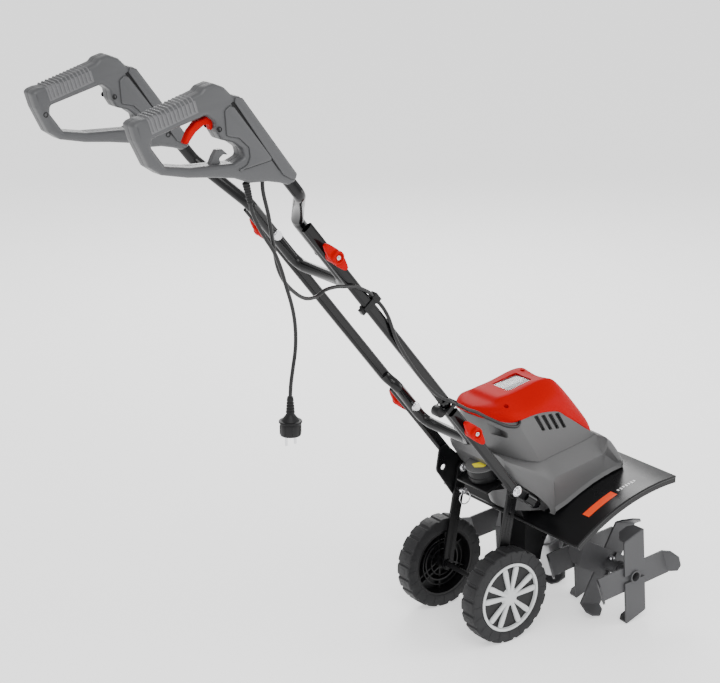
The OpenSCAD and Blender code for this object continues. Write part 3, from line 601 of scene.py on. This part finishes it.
def make_cover():
    rings = [whole_ring(x, half) for x, half in COVER]
    cover = piece("cover_shell", [loft(rings)], "chassis", "red_plastic", ["top_cover"], 60)
    count = len(rings[0])
    crease_lines(cover, count, {1, 6, count - 6, count - 1}, 0.75)
    baked(cover, ("SUBSURF", {"levels": 2, "render_levels": 2}))
    tilt = turned(WINDOW_TILT, "Y", WINDOW)
    x, _, z = WINDOW
    long, wide = WINDOW_HALF

    def sheet(low, high, edge):
        """A flat sheet under the window between two heights above its middle."""
        corners = [(x - long, z + low), (x + long, z + low), (x + long, z + high),
                   (x - long, z + high)]
        return slab(corners, -wide, wide, (edge, edge))

    opening = rounded([(x - long - 1, z - 6), (x + long + 1, z - 6), (x + long + 1, z + 14),
                       (x - long - 1, z + 14)], 2)
    sunk = [lathe([(0, -9), (5.2, -9), (5.2, 14), (0, 14)], spot, "Z", 24)
            for spot in COVER_SCREWS]
    cut(cover, [moved(slab(opening, -wide - 1, wide + 1, (5, 5)), tilt)] + sunk)
    finish_mesh(cover.data, "red_plastic", 32)
    screws = [lathe([(0, -8.9), (4.2, -8.9), (4.2, -6.5), (3.4, -5.6), (1.6, -5.6), (1.4, -7),
                     (0, -7)], spot, "Z", 20) for spot in COVER_SCREWS]
    piece("cover_screw_heads", screws, "chassis", "black_steel", ["cover_screws"])
    piece("window_pane", [moved(sheet(-3.5, -1.5, 0.4), tilt)], "chassis", "clear_window",
          ["window"])
    grille = [sheet(-5.8, -5.2, 0.1)]
    for i in range(GRILLE_BARS):
        bar = x - 29.5 + 4.5 * i
        grille.append(tube([(bar, -24, z - 5), (bar, 24, z - 5)], 0.9, 8))
    piece("window_grille", [moved(part, tilt) for part in grille], "chassis", "grey_plastic")


def body_ring(z, rear, flat, front, steps=12):
    """The body's outline at one height: a rounded rear end that meets the flat sides."""
    half = []
    for k in range(steps + 1):
        t = k / steps
        half.append((rear * (1 - t) ** 2 + rear * 2 * t * (1 - t) + flat * t * t,
                     2 * t * (1 - t) * 57 + HOUSING_HALF * t * t))
    half += [(flat + (front - flat) * k / 6, HOUSING_HALF) for k in range(1, 7)]
    near = [(x, -y, z) for x, y in half]
    return near + [(x, y, z) for x, y in reversed(half) if y > 0]


def leg_room():
    """Room round the frame's flat legs and its round U."""
    slope = math.radians(FRAME_SLOPE)
    bolt_place = Vector((FRAME_BOLT[0], 0, FRAME_BOLT[1]))
    ahead = Vector((math.cos(slope), 0, -math.sin(slope)))
    room = []
    for side, _ in SIDES:
        y = Vector((0, side * 95, 0))
        room.append(tube([Vector(along(LOWER_JOINT, s, side * 95)) for s in (20, -230)], 15, 24))
        room.append(tube([bolt_place + y - ahead * 30, bolt_place + y + ahead * 150], 14.5, 32))
    return room


def make_housing():
    body = piece("housing_shell", [loft([body_ring(*level) for level in BODY])], "chassis",
                 "grey_plastic", ["housing"])
    cover_lip = [(x, half[6][1] + 1) for x, half in COVER[2:]]
    under_cover = [(200, 469)] + cover_lip + [(540, 372), (540, 520), (200, 520)]
    vents, slots, vent_shades = [], [], []
    for side, _ in SIDES:
        for vent_x, vent_z in VENT_PLACES:
            vents.append(slab(rounded([(x + vent_x, z + vent_z) for x, z in VENT], 1.5),
                              side * 74, side * 90, (0.3, 0.3)))
        slots.append(slab(rounded(SIDE_SLOT, 3), side * 44, side * 96, (0.5, 0.5)))
        # A black sheet at the floor of this side's vents: painted shade
        vent_shades.append(slab(VENT_SHADE, side * 73.5, side * 74.5, (0.2, 0.2)))
    cut(body, [slab(under_cover, -120, 120, (0.2, 0.2))] + leg_room())
    cut(body, vents + slots)
    softened(body, 1.2, 32, "grey_plastic", 16)
    plinth = piece("housing_plinth", [loft([whole_ring(x, half) for x, half in PLINTH])],
                   "chassis", "grey_plastic")
    cut(plinth, leg_room())
    softened(plinth, 1.4, 24, "grey_plastic", 20)
    piece("vent_shade_sheets", vent_shades, "chassis", "black_plastic")


# ---------- guard, labels and drum ----------

GUARD_MIDDLE = (611.2, -151.6)
GUARD_R = 458.5
GUARD_FRONT, GUARD_REAR = 89.7, 126     # angles of its ends about its middle
GUARD_HALF = 213                        # half its width
SADDLE = [(240, 306), (308, 328), (318, 298.5), (363, 234), (355, 226), (345, 221),
          (312.5, 291.5), (303, 322), (242, 300.5)]
SADDLE_RIB = [(250, 302), (301, 318), (334, 238), (322, 262), (300, 296)]
DRUM = Vector((270, 0, 352))            # middle of the round box's lid
DRUM_TILT = -18


def guard_point(angle, y, lift=0.0):
    a = math.radians(angle)
    r = GUARD_R + lift
    return (GUARD_MIDDLE[0] + r * math.cos(a), y, GUARD_MIDDLE[1] + r * math.sin(a))


def guard_patch(a0, a1, y0, y1, lift, thick, steps=14):
    """A thin patch that follows the guard from angle a0 to a1, at a height over its top."""
    rings = []
    for i in range(steps + 1):
        a = a0 + (a1 - a0) * i / steps
        rings.append([guard_point(a, y0, lift), guard_point(a, y1, lift),
                      guard_point(a, y1, lift + thick), guard_point(a, y0, lift + thick)])
    return loft(rings)


def make_guard():
    parts = [guard_patch(GUARD_FRONT, GUARD_REAR, -GUARD_HALF, GUARD_HALF, -4, 4, 48)]
    for side, _ in SIDES:
        rim = [guard_point(a, side * 212.4, -2.0) for a in
               [89.9 + 36 * i / 40 for i in range(41)]]
        parts.append(tube(rim, 2.6, 14))
        parts.append(guard_patch(GUARD_FRONT, GUARD_REAR, side * GUARD_HALF, side * 210.5,
                                 -15, 14, 40))
    for angle, radius, lift in ((89.75, 2.6, -2.4), (126.0, 3.4, -2.6)):
        lip = [guard_point(angle, y, lift) for y in (-212, -110, 0, 110, 212)]
        parts.append(tube(lip, radius, 20))
    for y in (-150, 150):
        parts.append(guard_patch(90, 125, y - 2.5, y + 2.5, -6.5, 3, 30))
    piece("guard_shell", parts, "chassis", "guard_plastic", ["guard"], 40)
    piece("guard_saddle", [slab(rounded(SADDLE, 3), -48, 48, (1, 1))], "chassis",
          "guard_plastic")
    ribs = [slab(SADDLE_RIB, y - 2, y + 2, (0.5, 0.5)) for y in (-36, -12, 12, 36)]
    piece("saddle_ribs", ribs, "chassis", "guard_plastic")


def drum_tilt():
    return turned(DRUM_TILT, "Y", DRUM)


def make_labels():
    """Plain patches where the machine has labels. Each keeps the slot of what it lies on."""
    orange = [guard_patch(106.8, 117.2, side * 181, side * 162, 0.15, 0.5) for side, _ in SIDES]
    piece("guard_label", orange, "chassis", "orange_label")["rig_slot"] = "guard_plastic"
    bars = []
    for i in range(7):
        a = 105.5 - 0.95 * i
        bars.append(guard_patch(a - 0.5, a, -176 if i % 2 else -174, -168, 0.1, 0.3, 3))
    piece("guard_marks", bars, "chassis", "white_print")["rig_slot"] = "guard_plastic"
    outline = ((-20, 12), (-25, -2), (-14, -18), (10, -20), (0, -2))
    tag = loft([[DRUM + Vector((x, y, height)) for x, y in outline] for height in (0.4, 0.9)])
    piece("drum_label", [moved(tag, drum_tilt())], "chassis", "yellow_label")["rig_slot"] = (
        "grey_plastic")


def make_drum():
    case = lathe([(0, -34), (34, -34), (36.4, -32.5), (37, -30), (37, -22), (35.6, -21),
                  (35.6, -18), (37, -17), (37, -5), (36, -4), (0, -4)], DRUM, "Z", 64)
    piece("drum_case", [moved(case, drum_tilt())], "chassis", "black_plastic",
          ["capacitor_case"])
    lid = lathe([(0, -3.9), (37.4, -3.9), (38, -3.2), (38, -1.9), (37.4, -1.2), (34.5, -1),
                 (34, -0.2), (33, 0), (0, 0.3)], DRUM, "Z", 64)
    piece("drum_cap", [moved(lid, drum_tilt())], "chassis", "grey_plastic", ["capacitor_cap"])


# ---------- bolts and knobs ----------

def bolt(name, x, z, y, side, body, r, h):
    """A domed cap bolt with a round socket and a washer, whose head ends at y."""
    profile = [(0, 3.4), (r * 0.4, 3.4), (r * 0.44, 0.4), (r * 0.52, 0), (r * 0.82, 0.15),
               (r * 0.96, 1.1), (r, 2.2), (r, h - 1.6), (r * 1.18, h - 1.5), (r * 1.18, h),
               (0, h)]
    inward = [(radius, -side * depth) for radius, depth in profile]
    piece(name, [lathe(inward, (x, y, z), "Y", 36)], body, "zinc_steel")


def rod(x, z, y0, y1, radius):
    """A short round bar across the machine."""
    return lathe([(0, y0), (radius, y0), (radius, y1), (0, y1)], (x, 0, z), "Y", 24)


def make_bolts():
    shanks = []
    for side, word in SIDES:
        shanks += [rod(*FRAME_BOLT, side * 89, side * 101, 4),
                   rod(*ARM_PIVOT, side * 77, side * 92, 4)]
        bolt(f"{word}_frame_bolt", *FRAME_BOLT, side * 107.5, side, "chassis", 9.5, 6.3)
        bolt(f"{word}_pivot_bolt", *ARM_PIVOT, side * 72.4, -side, "chassis", 8.5, 5.2)
        bolt(f"{word}_lower_head", *LOWER_JOINT, side * 61.4, -side, "chassis", 8, 5)
        bolt(f"{word}_upper_head", *UPPER_JOINT, side * 61.4, -side, "middle_handle", 8, 5)
    piece("frame_bolt_shanks", shanks, "chassis", "zinc_steel", ["frame_bolts"])


def knob_parts(joint, side):
    """A wing knob: a stepped hub with two wings along the handle tube."""
    x, z = joint
    hub = lathe([(4.1, side * 102.9), (11, side * 102.9), (12, side * 103.8), (12.2, side * 112),
                 (13, side * 114), (13, side * 126), (12, side * 129.4), (9.6, side * 130.6),
                 (8.4, side * 130.2), (8, side * 127), (4.1, side * 127)], (x, 0, z), "Y", 40)
    wing = rounded([(-6, -11), (8, -11.5), (20, -8), (31, -4.5), (36, -1), (35.4, 5), (26, 8.5),
                    (16, 11), (4, 11.5), (-6, 11)], 4)
    parts = [hub]
    for half in (0, 180):
        blade = slab([(x + px, z + pz) for px, pz in wing], side * 113.5, side * 124.5, (4, 3.2),
                     (), 4)
        parts.append(moved(blade, turned(half + TUBE_ANGLE, "Y", (x, 0, z))))
    return parts


def make_knobs():
    for side, word in SIDES:
        for joint, level, body in ((LOWER_JOINT, "lower", "chassis"),
                                   (UPPER_JOINT, "upper", "middle_handle")):
            name = f"{word}_{level}_knob"
            piece(name + "_grip", knob_parts(joint, side), name, "red_plastic", [name])
            end = lathe([(0, side * 129), (3, side * 129), (4, side * 128), (4, side * 100),
                         (0, side * 100)], (joint[0], 0, joint[1]), "Y", 24)
            piece(f"{name}_bolt_end", [end], body, "zinc_steel")


# ---------- wheels ----------

WHEEL_MIDDLE = 106      # from the middle of the machine to the middle of a wheel
WHEEL_HALF = 19         # half the width of a tyre
LUGS = 20
LUG = ((96.6, -7.6), (99.6, -6.2), (99.7, -3), (99.7, 3), (99.6, 6.2), (96.6, 7.6))
SPOKE_PAIRS = 5
SPOKE = [(-3.6, 8), (3.6, 8), (6, 56), (5.2, 66.5), (-5.2, 66.5), (-6, 56)]


def on_wheel(radius, angle):
    """A side-view point of a wheel, from its radius and its angle in degrees."""
    a = math.radians(angle)
    return AXLE[0] + radius * math.cos(a), AXLE[1] + radius * math.sin(a)


def upright_block(half, low, high, y0, y1, edge):
    """A block over the axle, from radius low to high."""
    x, z = AXLE
    corners = [(x - half, z + low), (x + half, z + low), (x + half, z + high),
               (x - half, z + high)]
    return slab(corners, y0, y1, (edge, edge))


def tyre_parts(middle):
    """A tyre with lugs round its tread, thin ribs on its walls and a pad in each gap."""
    centre = (AXLE[0], middle, AXLE[1])
    step = 360 / LUGS
    tread = [on_wheel(radius, step * i + offset) for i in range(LUGS) for radius, offset in LUG]
    parts = [slab(tread, middle - WHEEL_HALF, middle + WHEEL_HALF, (3, 3),
                  [circle(AXLE, 73, 60)])]
    for i in range(LUGS):
        for edge in (-1, 1):
            rib = upright_block(0.5, 77, 95, middle + edge * (WHEEL_HALF - 1),
                                middle + edge * (WHEEL_HALF + 0.5), 0.2)
            parts.append(moved(rib, turned(-step * i, "Y", centre)))
        pad = upright_block(5, 98, 99.95, middle - 8, middle + 8, 0.8)
        parts.append(moved(pad, turned(-(step * i + 90), "Y", centre)))
    return parts


def hubcap_parts(middle, side):
    """A dished disc with a rim, a hub and pairs of leaning spokes."""
    face = middle + side * WHEEL_HALF
    rim = [(0, -8), (71, -8), (73, -1.6), (73.2, 0.9), (71.6, 2), (69, 2), (67.6, 1.2),
           (66.4, -4.5), (24, -6), (19, -3), (16, 1.2), (12, 2.4), (0, 2.7)]
    parts = [lathe([(radius, side * depth) for radius, depth in rim],
                   (AXLE[0], face, AXLE[1]), "Y", 64)]
    for i in range(SPOKE_PAIRS):
        for lean in (-1, 1):
            spoke = slab(rounded(SPOKE, 3), face - side * 6, face + side * 1.9, (2.8, 3.4),
                         (), 4)
            spoke = moved(spoke, Matrix.Translation((AXLE[0], 0, AXLE[1])))
            parts.append(moved(spoke, turned(360 / SPOKE_PAIRS * i + lean * 13.5, "Y",
                                             (AXLE[0], middle, AXLE[1]))))
    return parts


def make_wheels():
    for side, word in SIDES:
        body = f"{word}_wheel"
        middle = side * WHEEL_MIDDLE
        piece(f"{word}_tyre_tread", tyre_parts(middle), body, "tyre_plastic", [f"{word}_tyre"])
        piece(f"{word}_hubcap_face", hubcap_parts(middle, side), body, "hubcap_plastic",
              [f"{word}_hubcap"])
        rings = []
        for radius in (30, 52):
            spots = [on_wheel(radius, 7.5 * k) for k in range(48)]
            line = [Vector((x, middle - side * (WHEEL_HALF - 9.5), z)) for x, z in spots]
            rings.append(tube(line, 1.4, 8, True))
        piece(f"{word}_wheel_ribs", rings, body, "wheel_plastic")


# ---------- handles ----------

D_OUTLINE = [(-629, 1189), (-623, 1194), (-613, 1197), (-601, 1198), (-502, 1229), (-495, 1236),
             (-475, 1241), (-456, 1233), (-442, 1219), (-425, 1214), (-417, 1206), (-312, 1067),
             (-320, 1055), (-331, 1052), (-348, 1058), (-374, 1064), (-408, 1066), (-438, 1078),
             (-480, 1085), (-528, 1091), (-577, 1102), (-599, 1117), (-621, 1162)]
D_OPENING = [(-594, 1164), (-491, 1190), (-475, 1178), (-472, 1160), (-463, 1146), (-441, 1139),
             (-423, 1126), (-419, 1112), (-440, 1104), (-523, 1108), (-571, 1117), (-595, 1150)]
# The cord hook in the right handle's opening
HOOK = [(-482, 1100), (-473, 1118), (-466, 1128), (-455, 1128), (-443, 1117), (-453, 1119),
        (-461, 1113), (-457, 1100)]


# Raised parts: the switch box's cheek and the clamp over the tube
CHEEK = [(-459, 1194), (-448, 1203), (-440, 1199), (-364, 1101), (-438, 1090), (-416, 1100),
         (-411, 1112), (-413, 1128), (-432, 1146), (-456, 1152)]
CLAMP = [(-437, 1216), (-424, 1212), (-317, 1070), (-324, 1060), (-345, 1072), (-440, 1207)]
# A thin black sheet laid in the groove between the clamp and the cheek: painted shade for the gap
CLAMP_GAP_SHADE = [(-446, 1205), (-441, 1208), (-344, 1076), (-354, 1082)]
OUTER_SCREWS = [(-469, 1165)]
INNER_SCREWS = [(-469, 1166), (-605, 1150), (-425, 1190), (-362, 1085), (-400, 1092)]
TRIGGER = [(-529, 1146), (-521, 1144), (-505, 1162), (-489, 1172), (-480, 1172), (-477, 1162),
           (-473, 1164), (-471, 1176), (-464, 1188), (-469, 1196), (-477, 1192), (-489, 1184),
           (-505, 1180), (-519, 1166)]
HANDLE_HALF = 20        # half the thickness of a D handle
GRIP_RIBS = 12


def handle_parts(out):
    """Half of the right-hand D handle, with its raised cheek round the switch and its clamp
    over the tube. It is the outer half where out is -1, and the inner half where it is 1."""
    y_face = -GRIP_Y + out * HANDLE_HALF
    shell = slab(rounded(D_OUTLINE, 9, 4), y_face, -GRIP_Y + out * 0.15, (7, 8),
                 [rounded(D_OPENING, 8, 4)], 5, (0.9, 0.9))
    cheek = slab(rounded(CHEEK, 6), y_face - out * 1.0, y_face + out * 2.6, (3.2, 2.8), (), 4)
    clamp = slab(rounded(CLAMP, 5), y_face - out * 1.0, y_face + out * 3.0, (2.5, 2.8), (), 3)
    return [shell, cheek, clamp]


def screw_hole_shades(spots, out):
    """Raised rims with a dark middle, on the right-hand handle's face that out names. They are
    drawn black as painted shade for the deep screw holes.
    """
    profile = [(4.6, -1), (4.6, 0.5), (3.9, 0.9), (3.3, 0.4), (3.2, -0.9), (0, -0.9)]
    return [lathe([(radius, out * depth) for radius, depth in profile],
                  (x, -GRIP_Y + out * (HANDLE_HALF + 0.4), z), "Y", 24) for x, z in spots]


def grip_parts():
    """The ribbed pad round the top of a right-hand grip, let into the handle."""
    start, end = Vector((-597, 0, 1181)), Vector((-507, 0, 1207))
    ahead = (end - start).normalized()
    up = Vector((-ahead.z, 0, ahead.x))
    quarter_turns = [math.radians(-90 + 15 * k) for k in range(13)]
    section = [(math.sin(a), math.cos(a)) for a in quarter_turns]

    def around(s, low, grow):
        """Points over the bar at s along it, from one side to the other."""
        across = [(low, -GRIP_Y - 20.2 - grow)]
        for u, v in section:
            y = 12.5 * (1 if u > 0 else -1) + u * 7.7 if abs(u) > 0.02 else 0
            across.append((10.2 + v * 7.4 + v * grow,
                           -GRIP_Y + y + (grow if u > 0 else -grow) * abs(u)))
        across.append((low, -GRIP_Y + 20.2 + grow))
        return [start + ahead * s + up * height + Vector((0, y, 0)) for height, y in across]

    parts = [tube(smooth_line(around(4 + 7.4 * i, -7 + abs(i - 5.5) * 0.25, 0.6), 2), 1.5, 8)
             for i in range(GRIP_RIBS)]
    places = (-1, 20, 45, 70, 90)
    parts.append(loft([around(s, -9, 0.1) + around(s, -9, -2.5)[::-1] for s in places]))
    return parts


def make_handles():
    hook = slab(rounded(HOOK, 3), -GRIP_Y - 6, -GRIP_Y + 6, (2, 2), (), 4)
    for side, word in SIDES:
        def set_side(parts):
            return [mirrored(p) for p in parts] if side > 0 else parts

        outer, inner = handle_parts(-1), handle_parts(1)
        if word == "right":
            outer.append(hook)
        screws = screw_hole_shades(OUTER_SCREWS, -1) + screw_hole_shades(INNER_SCREWS, 1)
        # Thin black sheets in the clamp's groove on both faces of the handle: painted shade
        gap_shades = [slab(CLAMP_GAP_SHADE, -GRIP_Y + out * 19.5, -GRIP_Y + out * 20.3, (0.2, 0.2))
                for out in (-1, 1)]
        piece(f"{word}_handle_shell", set_side(outer), "upper_handle", "handle_plastic",
              [f"{word}_handle_outer"], 32)
        piece(f"{word}_handle_back", set_side(inner), "upper_handle", "handle_plastic",
              [f"{word}_handle_inner"], 32)
        piece(f"{word}_handle_gap_shade", set_side(gap_shades), "upper_handle", "black_plastic")
        piece(f"{word}_handle_screw_hole_shade", set_side(screws), "upper_handle", "black_plastic")
        piece(f"{word}_grip_ribs", set_side(grip_parts()), "upper_handle", "grip_rubber",
              [f"{word}_grip"])


def make_trigger():
    lever = slab(rounded(TRIGGER, 4), -GRIP_Y - 7, -GRIP_Y + 7, (3.2, 3.2), (), 5)
    piece("trigger_lever", [lever], "trigger", "red_plastic", ["trigger"])
    button = lathe([(0, 10), (6.9, 10), (6.9, 23.5), (6.2, 24.6), (4.5, 25), (0, 25.2)],
                   (-461, -GRIP_Y, 1210), "Y", 32)
    piece("lock_button_cap", [button], "lock_button", "red_plastic", ["lock_button"])


# ---------- CAD pieces that stay in view ----------

def dress_cad_nodes():
    """Finishes for the CAD nodes, and a weld and a small bevel for those that stay in view."""
    for part in frame["record"]["subparts"]:
        node = frame["nodes"][part["node"]]
        node.data.materials.clear()
        node.data.materials.append(FINISH[part["material_slot"]])
        if node.hide_render:
            continue
        weld = node.modifiers.new("weld", "WELD")
        weld.merge_threshold = 1e-6
        edge = node.modifiers.new("edge", "BEVEL")
        edge.width = 0.0006
        edge.segments = 2
        edge.limit_method = "ANGLE"
        edge.angle_limit = math.radians(50)


def make_floor():
    mesh = bpy.data.meshes.new("floor")
    mesh.from_pydata([(-60, -60, 0), (60, -60, 0), (60, 60, 0), (-60, 60, 0)], [],
                     [[0, 1, 2, 3]])
    floor = bpy.data.objects.new("floor", mesh)
    pale = material("floor", (0.95, 0.95, 0.95), 0.9, bump=0, wear=0.01, shine=0.1)
    shader = pale.node_tree.nodes["Principled BSDF"].inputs
    shader["Emission Color"].default_value = (1, 1, 1, 1)
    shader["Emission Strength"].default_value = 0.7
    mesh.materials.append(pale)
    scene.collection.objects.link(floor)


set_up_camera()
FINISH = make_materials()
make_cords()
set_up_studio()
make_cover()
make_housing()
make_guard()
make_labels()
make_drum()
make_bolts()
make_knobs()
make_wheels()
make_handles()
make_trigger()
dress_cad_nodes()
make_floor()
